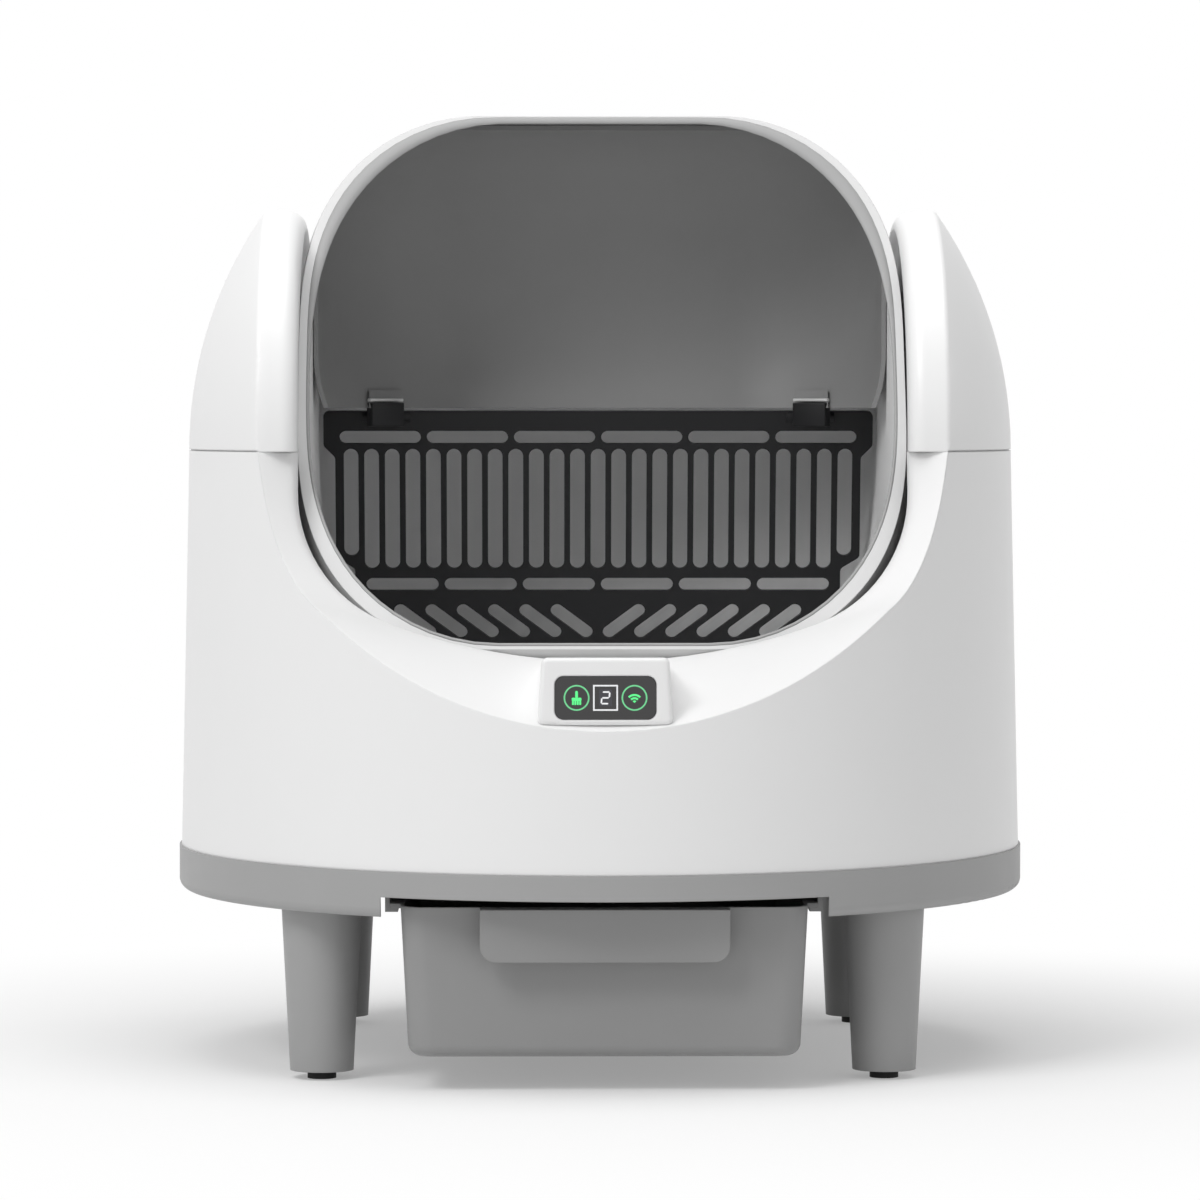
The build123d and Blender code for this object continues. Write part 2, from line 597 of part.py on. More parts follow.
def sieve():
    """Slotted grille with hinge knuckles along its top."""
    plate = extrude(SIEVE_PLANE * sieve_outline(), SIEVE_T / 2, both=True)
    for x0, x1 in knuckle_spans():
        plate += crosswise(KNUCKLE_R, x0, x1, SIEVE_Y, SIEVE_Z)
    for x0, x1 in knuckle_spans():
        plate -= crosswise(SIEVE_PIN_R + RUN_GAP, x0, x1, SIEVE_Y, SIEVE_Z)
    return plate


def sieve_pins():
    """The two hinge pins."""
    half = CLIP_HALF_W + SLIDE_GAP + KNUCKLE_W
    return [crosswise(SIEVE_PIN_R, x - half, x + half, SIEVE_Y, SIEVE_Z) for x in (-CLIP_X, CLIP_X)]


def sieve_clip_right():
    """Clip that grips the hood's lower edge and holds a hinge pin."""
    x0 = CLIP_X - CLIP_HALF_W
    x1 = CLIP_X + CLIP_HALF_W
    hood_z = AXLE_Z + HOOD_FOOT
    back = SIEVE_Y + KNUCKLE_R
    clip = block(x0, x1, 0, back, hood_z, SIEVE_Z + CLIP_H) - hood_roll(HOOD_T + CLIP_T)
    clip += block(x0, x1, SIEVE_Y - CLIP_REACH, back, SIEVE_Z, hood_z)
    clip += crosswise(KNUCKLE_R, x0, x1, SIEVE_Y, SIEVE_Z)
    wall = hood_roll(-SEAT_GAP) - hood_roll(HOOD_T + SEAT_GAP)
    clip -= wall & block(-BIG, BIG, 0, BIG, hood_z - SEAT_GAP, BIG)
    return clip - crosswise(SIEVE_PIN_R + RUN_GAP, x0, x1, SIEVE_Y, SIEVE_Z)


# Axle and drive

def hub_right():
    """Hub flange on the drum's end, with its axle stub."""
    hub = crosswise(HUB_R, DRUM_HALF_W, DRUM_HALF_W + HUB_T)
    hub += crosswise(AXLE_R, DRUM_HALF_W, AXLE_END)
    for screw in hub_screws():
        hub -= screw
    return hub


def hub_screws():
    """Countersunk hub screws at both ends of the drum."""
    screws = []
    for index in range(HUB_SCREW_COUNT):
        angle = 2 * pi * index / HUB_SCREW_COUNT
        y = HUB_SCREW_PCD_R * cos(angle)
        z = AXLE_Z + HUB_SCREW_PCD_R * sin(angle)
        screw = crosswise(HUB_SCREW_R, DRUM_HALF_W - DRUM_WALL, DRUM_HALF_W + HUB_T, y, z)
        screws += [screw, other_side(screw)]
    return screws


def bush_right():
    """Plain bearing bush."""
    ring = crosswise(BUSH_R, PILLAR_X, PILLAR_X + BUSH_L)
    return ring - crosswise(AXLE_R + RUN_GAP, PILLAR_X, PILLAR_X + BUSH_L)


def bearing_screws_right():
    """Two screws that hold the bearing cap on its saddle."""
    x = PILLAR_X + BUSH_L / 2
    top = AXLE_Z + BEARING_CAP_H
    screws = []
    for y in (-BEARING_SCREW_Y, BEARING_SCREW_Y):
        shank = upright(BEARING_SCREW_R, top - BEARING_SCREW_L, top, x, y)
        screws.append(shank + upright(BEARING_SCREW_HEAD_R, top, top + BEARING_SCREW_HEAD_H, x, y))
    return screws


def bearing_screw_holes():
    """Holes for the bearing screws, with their running gap."""
    x = PILLAR_X + BUSH_L / 2
    top = AXLE_Z + BEARING_CAP_H
    reach = top - BEARING_SCREW_L - RUN_GAP
    return [upright(BEARING_SCREW_R + RUN_GAP, reach, top, x, y) for y in (-BEARING_SCREW_Y, BEARING_SCREW_Y)]


def pillar_right():
    """Upright that stands on the chassis and carries the bush in a saddle."""
    post = block(PILLAR_X, PILLAR_X + PILLAR_T, -PILLAR_HALF_W, PILLAR_HALF_W, FLOOR_Z, AXLE_Z)
    post += block(PILLAR_X, PILLAR_X + BUSH_L, -SADDLE_HALF_W, SADDLE_HALF_W, AXLE_Z - SADDLE_H, AXLE_Z)
    post += block(PILLAR_X, PILLAR_X + PILLAR_FOOT, -PILLAR_HALF_W, PILLAR_HALF_W, FLOOR_Z, FLOOR_Z + PILLAR_T)
    post -= crosswise(BUSH_R + RUN_GAP, PILLAR_X, PILLAR_X + BUSH_L)
    for hole in bearing_screw_holes():
        post -= hole
    return post


def bearing_cap_right():
    """Upper half of the bearing."""
    cap = block(PILLAR_X, PILLAR_X + BUSH_L, -SADDLE_HALF_W, SADDLE_HALF_W, AXLE_Z, AXLE_Z + BEARING_CAP_H)
    cap -= crosswise(BUSH_R + RUN_GAP, PILLAR_X, PILLAR_X + BUSH_L)
    for hole in bearing_screw_holes():
        cap -= hole
    return cap


def gear_face(teeth, phase):
    """Involute spur gear outline about the origin, a tooth at the phase angle."""
    pitch_r = MODULE * teeth / 2
    base_r = pitch_r * cos(radians(PRESSURE_ANGLE))
    root_r = pitch_r - TOOTH_ROOT * MODULE
    tip_r = pitch_r + MODULE
    half_pitch = pi / (2 * teeth) - TOOTH_SLACK / (2 * pitch_r)
    involute = tan(radians(PRESSURE_ANGLE)) - radians(PRESSURE_ANGLE)
    low_r = max(base_r, root_r)
    flank = [(root_r, half_pitch + involute)] if root_r < base_r else []
    for step in range(FLANK_POINTS):
        r = low_r + (tip_r - low_r) * step / (FLANK_POINTS - 1)
        roll = acos(base_r / r)
        flank.append((r, half_pitch + involute - (tan(roll) - roll)))
    points = []
    for tooth in range(teeth):
        middle = phase + 2 * pi * tooth / teeth
        points += [(r * cos(middle - a), r * sin(middle - a)) for r, a in flank]
        points += [(r * cos(middle + a), r * sin(middle + a)) for r, a in reversed(flank)]
    return make_face(Polyline(*points, close=True))


def drum_gear():
    """Large gear on the right axle stub."""
    place = Plane(origin=(GEAR_X, 0, AXLE_Z), x_dir=(0, 1, 0), z_dir=(1, 0, 0))
    wheel = extrude(place * gear_face(GEAR_TEETH, -pi / 2), GEAR_W)
    return wheel - crosswise(AXLE_R + RUN_GAP, GEAR_X, GEAR_X + GEAR_W)


def pinion():
    """Small gear under the drum gear, a tooth space facing up."""
    place = Plane(origin=(GEAR_X, 0, PINION_Z), x_dir=(0, 1, 0), z_dir=(1, 0, 0))
    wheel = extrude(place * gear_face(PINION_TEETH, pi / 2 + pi / PINION_TEETH), GEAR_W)
    return wheel - crosswise(PINION_SHAFT_R + RUN_GAP, GEAR_X, GEAR_X + GEAR_W, 0, PINION_Z)


def pinion_shaft():
    """Gearmotor's output shaft."""
    return crosswise(PINION_SHAFT_R, GEAR_X - BRACKET_GAP, BRACKET_X + BRACKET_T + SHAFT_SEAT, 0, PINION_Z)


def motor_bracket():
    """Plate beyond the gears, with two arms from the pillar."""
    z0 = PINION_Z - BRACKET_DOWN
    z1 = PINION_Z + BRACKET_UP
    plate = block(BRACKET_X, BRACKET_X + BRACKET_T, -BRACKET_HALF_W, BRACKET_HALF_W, z0, z1)
    for side in (-1, 1):
        y0, y1 = sorted((side * BRACKET_HALF_W, side * (BRACKET_HALF_W - BRACKET_ARM_T)))
        plate += block(PILLAR_X + PILLAR_T, BRACKET_X, y0, y1, z0, z1)
    return plate - crosswise(MOTOR_NOSE_R + RUN_GAP, BRACKET_X, BRACKET_X + BRACKET_T, 0, PINION_Z)


def gearmotor():
    """Flat gearmotor with a nose through the bracket and a bore for its shaft."""
    start = BRACKET_X + BRACKET_T
    motor = crosswise(MOTOR_R, start, start + MOTOR_L, 0, PINION_Z)
    motor += crosswise(MOTOR_NOSE_R, BRACKET_X, start, 0, PINION_Z)
    return motor - crosswise(PINION_SHAFT_R + RUN_GAP, BRACKET_X, start + SHAFT_SEAT + RUN_GAP, 0, PINION_Z)


# Legs, drawer and chute

def leg_places():
    """Leg centres by name."""
    return {
        "front_left": (-LEG_X, -LEG_Y), "front_right": (LEG_X, -LEG_Y),
        "rear_left": (-LEG_X, LEG_Y), "rear_right": (LEG_X, LEG_Y),
    }


def leg(x, y):
    """Hollow cone leg with a screw boss."""
    cone = frustum(LEG_FOOT_R, LEG_TOP_R, PAD_H, CHASSIS_Z, x, y)
    floor = PAD_H + PAD_STEM_H + LEG_WALL
    cone -= frustum(LEG_FOOT_R - LEG_WALL, LEG_TOP_R - LEG_WALL, floor, CHASSIS_Z, x, y)
    cone += upright(LEG_BOSS_R, PAD_H, CHASSIS_Z, x, y)
    cone -= upright(PAD_STEM_R + RUN_GAP, PAD_H, PAD_H + PAD_STEM_H + RUN_GAP, x, y)
    return cone - upright(LEG_SCREW_R + RUN_GAP, leg_screw_end() - RUN_GAP, CHASSIS_Z, x, y)


def pad(x, y):
    """Rubber foot with a stem into the leg."""
    return upright(PAD_R, 0, PAD_H, x, y) + upright(PAD_STEM_R, PAD_H, PAD_H + PAD_STEM_H, x, y)


def leg_screw_end():
    """Height of the leg screws' points."""
    return FLOOR_Z + SENSOR[2] - LEG_SCREW_L


def leg_screws():
    """Screws through the weight sensors and the chassis into the legs."""
    top = FLOOR_Z + SENSOR[2]
    screws = []
    for x, y in leg_places().values():
        shank = upright(LEG_SCREW_R, leg_screw_end(), top, x, y)
        screws.append(shank + upright(LEG_SCREW_HEAD_R, top, top + LEG_SCREW_HEAD_H, x, y))
    return screws


def weight_sensors():
    """Load cells on the chassis, one over each leg, turned along the skirt."""
    cells = []
    for x, y in leg_places().values():
        turn = atan2(y, x) * 180 / pi + 90
        bar = Pos(x, y, FLOOR_Z + SENSOR[2] / 2) * Rot(0, 0, turn) * Box(*SENSOR)
        cells.append(bar - upright(LEG_SCREW_R + RUN_GAP, FLOOR_Z, FLOOR_Z + SENSOR[2], x, y))
    return cells


def tray_block(inset, floor_z, top_z):
    """Drawer body with sides that draw in towards the floor, inset all round."""
    depth = DRAWER_BACK_Y - DRAWER_FRONT_Y - 2 * inset
    middle = (DRAWER_BACK_Y + DRAWER_FRONT_Y) / 2
    corner = DRAWER_CORNER_R - inset
    low_w = 2 * (DRAWER_HALF_W - DRAWER_DRAFT - inset)
    high_w = 2 * (DRAWER_HALF_W - inset)
    low = Pos(0, middle, floor_z) * RectangleRounded(low_w, depth, corner)
    high = Pos(0, middle, top_z) * RectangleRounded(high_w, depth, corner)
    return loft([low, high], ruled=True)


def drawer_tray():
    """Waste drawer with a lip along each side that rides on the runners."""
    body = tray_block(0, DRAWER_BOTTOM_Z, DRAWER_TOP_Z)
    floor_face = body.faces().sort_by(Axis.Z)[0]
    body = fillet(floor_face.edges(), DRAWER_FLOOR_R)
    body -= tray_block(DRAWER_WALL, DRAWER_BOTTOM_Z + DRAWER_WALL, DRAWER_TOP_Z)
    inner = DRAWER_HALF_W - DRAWER_WALL
    front = DRAWER_FRONT_Y + DRAWER_CORNER_R + LIP_END
    back = DRAWER_BACK_Y - DRAWER_CORNER_R
    lip = block(inner, DRAWER_HALF_W + LIP_W, front, back, DRAWER_TOP_Z - LIP_T, DRAWER_TOP_Z)
    return body + lip + other_side(lip)


def drawer_handle():
    """Hanging pull plate on the drawer's front, open below for the fingers."""
    top = DRAWER_TOP_Z
    front = DRAWER_FRONT_Y - HANDLE_REACH
    plate = block(-HANDLE_HALF_W, HANDLE_HALF_W, front, front + HANDLE_T, top - HANDLE_H, top)
    low_corners = plate.edges().filter_by(Axis.Y).sort_by(Axis.Z)[:2]
    plate = fillet(low_corners, HANDLE_CORNER_R)
    return plate + block(-HANDLE_HALF_W, HANDLE_HALF_W, front, DRAWER_FRONT_Y, top - HANDLE_T, top)


def runner_right():
    """Angle that hangs from the chassis and carries the drawer's lip."""
    web_x = DRAWER_HALF_W + LIP_W + SLIDE_GAP
    shelf_top = DRAWER_TOP_Z - LIP_T - SLIDE_GAP
    shelf_x = web_x - RUNNER_SHELF_IN
    web = block(web_x, web_x + RUNNER_T, RUNNER_FRONT_Y, DRAWER_BACK_Y, shelf_top - RUNNER_T, CHASSIS_Z)
    return web + block(shelf_x, web_x, RUNNER_FRONT_Y, DRAWER_BACK_Y, shelf_top - RUNNER_T, shelf_top)


def waste_chute():
    """Funnel on the chassis, from under the drum down to the drawer."""
    middle = (CHUTE_FRONT_Y + CHUTE_BACK_Y) / 2
    depth = CHUTE_BACK_Y - CHUTE_FRONT_Y

    def level(z, grow):
        return Pos(0, middle, z) * Rectangle(2 * (CHUTE_HALF_W + grow), depth + 2 * grow)

    top = FLOOR_Z + CHUTE_H
    outer = loft([level(FLOOR_Z, CHUTE_WALL), level(top, CHUTE_FLARE + CHUTE_WALL)], ruled=True)
    return outer - loft([level(FLOOR_Z, 0), level(top, CHUTE_FLARE)], ruled=True)


# Control panel and electronics

def panel_plane():
    """Front face of the panel housing, at the middle of its top edge."""
    lean = radians(PANEL_LEAN)
    return Plane(origin=(0, PANEL_FRONT_Y, PANEL_BOTTOM_Z + PANEL_H), x_dir=(1, 0, 0),
                 z_dir=(0, -cos(lean), sin(lean)))


def panel_pocket(size, corner, start, end):
    """Block behind the panel's face, from start to end in depth."""
    face = Pos(0, -GLASS_DOWN) * RectangleRounded(size[0], size[1], corner)
    return extrude(panel_plane().offset(-end) * face, end - start)


def panel_housing():
    """White block that stands on the cowl's slope, pocketed for the glass and the board."""
    face = make_face(Polyline(
        (-PANEL_HALF_W, -PANEL_H), (PANEL_HALF_W, -PANEL_H),
        (PANEL_TOP_HALF_W, 0), (-PANEL_TOP_HALF_W, 0), close=True))
    face = fillet(face.vertices(), PANEL_EDGE_R)
    solid = extrude(panel_plane().offset(-PANEL_DEPTH) * face, PANEL_DEPTH)
    front = solid.faces().sort_by(Axis.Y)[0]
    solid = fillet(front.edges(), PANEL_FRONT_R)
    solid &= flare(-SEAT_GAP)
    solid -= panel_pocket((GLASS[0] + 2 * SEAT_GAP, GLASS[1] + 2 * SEAT_GAP),
                          GLASS_CORNER_R + SEAT_GAP, -GLASS_T, GLASS_T)
    board = (PANEL_BOARD[0] + 2 * SEAT_GAP, PANEL_BOARD[1] + 2 * SEAT_GAP)
    return solid - panel_pocket(board, SEAT_GAP, 0, GLASS_T + PANEL_BOARD[2])


def panel_glass():
    """Black touch glass, flush with the housing."""
    return panel_pocket(GLASS, GLASS_CORNER_R, 0, GLASS_T)


def panel_board():
    """Small circuit board behind the glass."""
    return panel_pocket(PANEL_BOARD[:2], SEAT_GAP, GLASS_T, GLASS_T + PANEL_BOARD[2])


def main_board():
    """Main circuit board on four standoffs, behind the chute."""
    z0 = FLOOR_Z + BOARD_STANDOFF
    half_x = BOARD[0] / 2
    half_y = BOARD[1] / 2
    board = block(-half_x, half_x, BOARD_Y - half_y, BOARD_Y + half_y, z0, z0 + BOARD[2])
    inset = 2 * BOARD_STANDOFF_R
    for x in (-half_x + inset, half_x - inset):
        for y in (BOARD_Y - half_y + inset, BOARD_Y + half_y - inset):
            board += upright(BOARD_STANDOFF_R, FLOOR_Z, z0, x, y)
    return board


def inlet_place():
    """Place on the shell's back wall, its Z axis pointing out."""
    share = (INLET_Z - SKIRT_TOP_Z) / (AXLE_Z - SKIRT_TOP_Z)
    face_r = SHELL_R + (EAR_R - SHELL_R) * share
    return Rot(0, 0, INLET_TURN) * Pos(0, face_r, INLET_Z) * Rot(-90, 0, 0)


def dc_inlet():
    """Round low voltage socket in the shell's back wall, with a flange inside."""
    place = inlet_place()
    socket = place * Pos(0, 0, -INLET_L / 2) * Cylinder(INLET_R, INLET_L)
    flange_z = -2 * WALL - INLET_FLANGE_T / 2
    socket += place * Pos(0, 0, flange_z) * Cylinder(INLET_FLANGE_R, INLET_FLANGE_T)
    return socket - place * Cylinder(INLET_BORE_R, 4 * WALL)


# Every piece by its name

def pieces():
    """Name and solids of every node."""
    nodes = {
        "main_shell": main_shell(),
        "ear_cap_right": ear_cap_right(),
        "skirt": skirt(),
        "chassis": chassis(),
        "drum_shell": drum_shell(),
        "mouth_rim": mouth_rim(),
        "basin_liner": basin_liner(),
        "hood_liner": hood_liner(),
        "hood_panel": hood_panel(),
        "sieve": sieve(),
        "sieve_pins": Compound(children=sieve_pins()),
        "sieve_clip_right": sieve_clip_right(),
        "hub_right": hub_right(),
        "hub_screws": Compound(children=hub_screws()),
        "bush_right": bush_right(),
        "pillar_right": pillar_right(),
        "bearing_cap_right": bearing_cap_right(),
        "drum_gear": drum_gear(),
        "pinion": pinion(),
        "pinion_shaft": pinion_shaft(),
        "motor_bracket": motor_bracket(),
        "gearmotor": gearmotor(),
        "leg_screws": Compound(children=leg_screws()),
        "weight_sensors": Compound(children=weight_sensors()),
        "drawer_tray": drawer_tray(),
        "drawer_handle": drawer_handle(),
        "runner_right": runner_right(),
        "waste_chute": waste_chute(),
        "panel_housing": panel_housing(),
        "panel_glass": panel_glass(),
        "panel_board": panel_board(),
        "main_board": main_board(),
        "dc_inlet": dc_inlet(),
    }
    for name in ("ear_cap", "sieve_clip", "hub", "bush", "pillar", "bearing_cap", "runner"):
        nodes[name + "_left"] = other_side(nodes[name + "_right"])
    screws = bearing_screws_right()
    nodes["bearing_screws"] = Compound(children=screws + [other_side(screw) for screw in screws])
    for name, (x, y) in leg_places().items():
        nodes["leg_" + name] = leg(x, y)
        nodes["pad_" + name] = pad(x, y)
    return nodes


os.makedirs("parts", exist_ok=True)
for node_name, solids in pieces().items():
    export_step(solids, f"parts/{node_name}.step")
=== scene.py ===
"""Self-cleaning litter box: finishes, panel graphics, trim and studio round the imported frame."""
import json
import logging
from dataclasses import dataclass, field
from enum import Enum
from math import acos, cos, pi, radians, sin, sqrt
from typing import ClassVar

import bpy
from mathutils import Matrix, Vector


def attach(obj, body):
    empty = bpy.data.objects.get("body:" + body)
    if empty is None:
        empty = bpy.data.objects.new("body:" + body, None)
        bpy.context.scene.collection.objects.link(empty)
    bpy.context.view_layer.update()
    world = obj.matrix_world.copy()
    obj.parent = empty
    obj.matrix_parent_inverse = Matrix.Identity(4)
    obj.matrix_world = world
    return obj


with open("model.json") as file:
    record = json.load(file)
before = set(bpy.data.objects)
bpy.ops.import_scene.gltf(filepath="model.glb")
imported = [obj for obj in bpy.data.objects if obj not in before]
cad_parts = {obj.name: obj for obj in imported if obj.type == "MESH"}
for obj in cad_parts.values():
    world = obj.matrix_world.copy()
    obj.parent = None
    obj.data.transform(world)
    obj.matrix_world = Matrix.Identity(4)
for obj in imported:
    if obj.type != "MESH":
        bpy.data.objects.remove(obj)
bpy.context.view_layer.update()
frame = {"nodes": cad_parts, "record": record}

Colour = tuple[float, float, float]
Point = tuple[float, float, float]

MM = 0.001
log = logging.getLogger("litter_box")


class Grain(Enum):
    """How a surface is broken up at close range."""

    SPARK = "fine spark-eroded mould grain"
    PEEL = "slow ripple of a polished mould"
    BRUSHED = "fine lines along one axis"
    PEBBLE = "small rubber pebbles"


@dataclass(frozen=True)
class Finish:
    """One surface finish, made into a node material on first use.

    Sizes are in metres. The mottle is the share by which the colour wanders.
    """

    name: str
    colour: Colour
    roughness: float
    grain: Grain
    grain_size: float = 0.6 * MM
    grain_depth: float = 0.02 * MM
    mottle: float = 0.03
    mottle_size: float = 60 * MM
    rough_spread: float = 0.05
    metallic: float = 0.0
    specular: float = 0.5
    coat: float = 0.0
    glow: float = 0.0
    edge_radius: float = 0.0

    COAT_ROUGHNESS: ClassVar[float] = 0.08
    BUMP_STRENGTH: ClassVar[float] = 0.35
    COLOUR_DETAIL: ClassVar[float] = 3.0
    ROUGH_DETAIL: ClassVar[float] = 4.0
    PEEL_DETAIL: ClassVar[float] = 2.0
    GRAIN_DETAIL: ClassVar[float] = 5.0
    BRUSH_STRETCH: ClassVar[Point] = (0.04, 1.0, 1.0)
    BEVEL_SAMPLES: ClassVar[int] = 4

    def material(self) -> bpy.types.Material:
        """Give the finish's material, building it on first use.

        Returns:
            The node material with this finish's name.
        """
        found = bpy.data.materials.get(self.name)
        return found if found else self._build()

    def _build(self) -> bpy.types.Material:
        """Build colour, roughness and relief from noise on Object coordinates.

        Returns:
            The new node material.
        """
        made = bpy.data.materials.new(self.name)
        made.use_nodes = True
        nodes, links = made.node_tree.nodes, made.node_tree.links
        shader = nodes["Principled BSDF"]
        shader.inputs["Metallic"].default_value = self.metallic
        shader.inputs["Specular IOR Level"].default_value = self.specular
        shader.inputs["Coat Weight"].default_value = self.coat
        shader.inputs["Coat Roughness"].default_value = self.COAT_ROUGHNESS
        place = nodes.new("ShaderNodeTexCoord").outputs["Object"]

        broad = self._noise(nodes, links, place, 1 / self.mottle_size, self.COLOUR_DETAIL)
        ramp = nodes.new("ShaderNodeMix")
        ramp.data_type = "RGBA"
        links.new(broad, ramp.inputs["Factor"])
        ramp.inputs[6].default_value = self._shade(1 - self.mottle)
        ramp.inputs[7].default_value = self._shade(1 + self.mottle)
        links.new(ramp.outputs[2], shader.inputs["Base Color"])
        if self.glow:
            links.new(ramp.outputs[2], shader.inputs["Emission Color"])
            shader.inputs["Emission Strength"].default_value = self.glow

        spread = nodes.new("ShaderNodeMapRange")
        uneven = self._noise(nodes, links, place, 3 / self.mottle_size, self.ROUGH_DETAIL)
        links.new(uneven, spread.inputs["Value"])
        spread.inputs["To Min"].default_value = self.roughness - self.rough_spread
        spread.inputs["To Max"].default_value = self.roughness + self.rough_spread
        links.new(spread.outputs["Result"], shader.inputs["Roughness"])

        bump = nodes.new("ShaderNodeBump")
        bump.inputs["Strength"].default_value = self.BUMP_STRENGTH
        bump.inputs["Distance"].default_value = self.grain_depth
        links.new(self._relief(nodes, links, place), bump.inputs["Height"])
        if self.edge_radius:
            soft = nodes.new("ShaderNodeBevel")
            soft.samples = self.BEVEL_SAMPLES
            soft.inputs["Radius"].default_value = self.edge_radius
            links.new(soft.outputs["Normal"], bump.inputs["Normal"])
        links.new(bump.outputs["Normal"], shader.inputs["Normal"])
        return made

    def _shade(self, share: float) -> tuple[float, float, float, float]:
        """Give the colour times a share, with alpha.

        Args:
            share: What each channel is multiplied by.

        Returns:
            Red, green, blue and a full alpha.
        """
        red, green, blue = (min(1.0, part * share) for part in self.colour)
        return red, green, blue, 1.0

    def _noise(self, nodes: bpy.types.Nodes, links: bpy.types.NodeLinks, place: bpy.types.NodeSocket,
               scale: float, detail: float) -> bpy.types.NodeSocket:
        """Add a noise texture.

        Args:
            nodes: The material's nodes.
            links: The material's links.
            place: Coordinates to read.
            scale: Repeats in a metre.
            detail: Octaves.

        Returns:
            The noise's factor.
        """
        noise = nodes.new("ShaderNodeTexNoise")
        noise.inputs["Scale"].default_value = scale
        noise.inputs["Detail"].default_value = detail
        links.new(place, noise.inputs["Vector"])
        return noise.outputs["Fac"]

    def _relief(self, nodes: bpy.types.Nodes, links: bpy.types.NodeLinks,
                place: bpy.types.NodeSocket) -> bpy.types.NodeSocket:
        """Add the texture that the grain's bump follows.

        Args:
            nodes: The material's nodes.
            links: The material's links.
            place: Coordinates to read.

        Returns:
            The height.
        """
        scale = 1 / self.grain_size
        if self.grain is Grain.PEBBLE:
            cells = nodes.new("ShaderNodeTexVoronoi")
            cells.inputs["Scale"].default_value = scale
            links.new(place, cells.inputs["Vector"])
            return cells.outputs["Distance"]
        if self.grain is Grain.BRUSHED:
            stretch = nodes.new("ShaderNodeMapping")
            stretch.inputs["Scale"].default_value = self.BRUSH_STRETCH
            links.new(place, stretch.inputs["Vector"])
            return self._noise(nodes, links, stretch.outputs["Vector"], scale, self.GRAIN_DETAIL)
        detail = self.PEEL_DETAIL if self.grain is Grain.PEEL else self.GRAIN_DETAIL
        return self._noise(nodes, links, place, scale, detail)


class Finishes:
    """The finishes of this box, one for each material slot of the record, and the panel's inks."""

    BY_SLOT: dict[str, Finish] = {
        "shell_white": Finish("satin_white_moulding", (0.86, 0.86, 0.86), 0.36, Grain.PEEL,
                              grain_size=9 * MM, grain_depth=0.05 * MM, mottle=0.008, edge_radius=1.8 * MM),
        # The drum is the shell's white plastic, greyed from 0.86 to 0.70 as painted shade.
        "drum_white": Finish("satin_drum_white_painted_shade", (0.70, 0.70, 0.70), 0.42, Grain.PEEL,
                             grain_size=9 * MM, grain_depth=0.05 * MM, mottle=0.01, edge_radius=0.8 * MM),
        "base_grey": Finish("matt_grey_moulding", (0.36, 0.36, 0.36), 0.5, Grain.SPARK, edge_radius=1.0 * MM),
        "drawer_grey": Finish("matt_drawer_grey", (0.30, 0.30, 0.30), 0.48, Grain.SPARK,
                              edge_radius=1.2 * MM),
        "hood_grey": Finish("matt_hood_grey", (0.235, 0.235, 0.235), 0.55, Grain.SPARK, mottle=0.04),
        "liner_grey": Finish("matt_liner_grey", (0.86, 0.86, 0.86), 0.5, Grain.SPARK),
        "sieve_black": Finish("satin_black_moulding", (0.010, 0.010, 0.011), 0.45, Grain.SPARK,
                              specular=0.25, edge_radius=0.6 * MM),
        "panel_glass": Finish("black_touch_glass", (0.011, 0.010, 0.011), 0.12, Grain.PEEL,
                              grain_size=12 * MM, grain_depth=0.01 * MM, rough_spread=0.02, coat=0.6),
        "foot_rubber": Finish("black_rubber", (0.012, 0.012, 0.012), 0.75, Grain.PEBBLE,
                              grain_size=0.9 * MM, grain_depth=0.06 * MM, edge_radius=0.6 * MM),
        "steel": Finish("brushed_steel", (0.56, 0.56, 0.57), 0.3, Grain.BRUSHED, metallic=1.0),
        "bush_bronze": Finish("turned_bronze", (0.60, 0.43, 0.20), 0.32, Grain.BRUSHED, metallic=1.0),
        "gear_nylon": Finish("natural_nylon", (0.78, 0.75, 0.66), 0.5, Grain.SPARK),
        "frame_grey": Finish("matt_frame_grey", (0.33, 0.33, 0.33), 0.55, Grain.SPARK),
        "board_green": Finish("solder_mask", (0.03, 0.19, 0.07), 0.35, Grain.SPARK, mottle=0.12,
                              mottle_size=6 * MM),
        "motor_metal": Finish("painted_motor_can", (0.10, 0.10, 0.11), 0.4, Grain.PEEL, grain_size=2 * MM),
        "sensor_metal": Finish("milled_aluminium", (0.70, 0.70, 0.72), 0.3, Grain.BRUSHED, metallic=1.0),
        "socket_black": Finish("socket_black_plastic", (0.02, 0.02, 0.02), 0.4, Grain.SPARK),
    }
    ICON_GREEN = Finish("icon_green_light", (0.10, 0.80, 0.24), 0.4, Grain.SPARK, glow=0.35, mottle=0.08,
                        mottle_size=4 * MM)
    RING_GREEN = Finish("ring_green_light", (0.16, 0.62, 0.28), 0.4, Grain.SPARK, glow=0.2, mottle=0.08,
                        mottle_size=4 * MM)
    READOUT_WHITE = Finish("readout_white_light", (0.85, 0.86, 0.88), 0.4, Grain.SPARK, glow=0.15,
                           mottle=0.05, mottle_size=4 * MM)
    READOUT_DARK = Finish("readout_smoked_window", (0.05, 0.05, 0.06), 0.25, Grain.SPARK, mottle=0.05)


